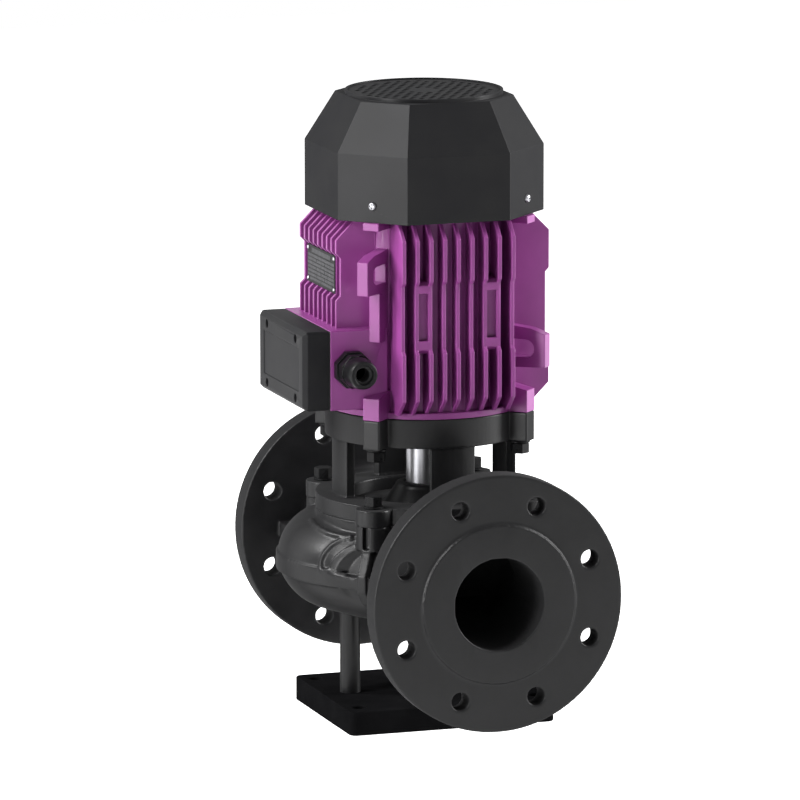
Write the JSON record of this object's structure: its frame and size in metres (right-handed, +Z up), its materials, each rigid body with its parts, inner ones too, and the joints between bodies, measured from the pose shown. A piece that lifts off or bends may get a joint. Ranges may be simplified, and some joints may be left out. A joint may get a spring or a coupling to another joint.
{
  "type": "vertical inline booster pump",
  "caption": "Vertical inline booster pump: flanged volute casing on a base plate, open bracket, finned electric motor with fan cowl, terminal box and cable gland.",
  "frame": {"origin": "shaft axis at the underside of the base plate", "axes": "+Z up along the shaft, ports along Y with the one in the picture's foreground at -Y, terminal box at -X"},
  "size_m": [0.224, 0.36, 0.493],
  "materials": {
    "cast_iron_black": "matt black enamel over fine sand-cast grain",
    "blackened_bolts": "black oxide",
    "motor_enamel": "satin purple enamel on die-cast aluminium",
    "cowl_black": "satin black powder coat on sheet steel",
    "moulded_black": "fine moulded grain",
    "rubber_black": "matt",
    "steel_bright": "turned or plated steel",
    "bearing_steel": "ground",
    "core_steel": "stacked laminations",
    "cast_aluminium": "as cast",
    "winding_copper": "varnished copper wire",
    "bronze": "machined bronze",
    "seal_ceramic": "lapped ceramic and carbon",
    "phenolic_board": "moulded board",
    "stud_brass": "turned",
    "plate_black": "black anodised sheet"
  },
  "bodies": {
    "pump": {"base_plate": "cast_iron_black", "support_legs": "cast_iron_black", "leg_screws": "blackened_bolts", "volute_casing": "cast_iron_black", "wear_ring": "bronze", "cover_gasket": "rubber_black", "casing_cover": "cast_iron_black", "seal_seat": "seal_ceramic", "lantern": "cast_iron_black", "cover_bolts": "blackened_bolts", "cover_washers": "blackened_bolts", "motor_bolts": "blackened_bolts", "motor_washers": "blackened_bolts", "motor_housing": "motor_enamel", "drive_end_shield": "motor_enamel", "fan_end_shield": "motor_enamel", "shield_bolts": "steel_bright", "stator_core": "core_steel", "stator_windings": "winding_copper", "bearing_outer_rings": "bearing_steel", "fan_cowl": "cowl_black", "cowl_grille": "cowl_black", "cowl_screws": "steel_bright", "terminal_gasket": "rubber_black", "terminal_cover": "moulded_black", "terminal_screws": "steel_bright", "terminal_board": "phenolic_board", "terminal_studs": "stud_brass", "gland_body": "moulded_black", "gland_nut": "moulded_black", "gland_seal": "rubber_black", "nameplate": "plate_black", "nameplate_rivets": "steel_bright"},
    "rotor": {"motor_shaft": "steel_bright", "bearing_inner_rings": "bearing_steel", "bearing_balls": "bearing_steel", "rotor_core": "core_steel", "rotor_end_rings": "cast_aluminium", "impeller": "bronze", "impeller_key": "steel_bright", "impeller_washer": "steel_bright", "impeller_nut": "steel_bright", "seal_head": "seal_ceramic", "seal_bellows": "rubber_black", "cooling_fan": "moulded_black", "fan_clip": "steel_bright"}
  },
  "joints": [
    {"name": "rotor_spin", "type": "hinge", "parent": "pump", "child": "rotor", "pos_m": [0, 0, 0.3], "axis": [0, 0, 1], "continuous": true}
  ]
}
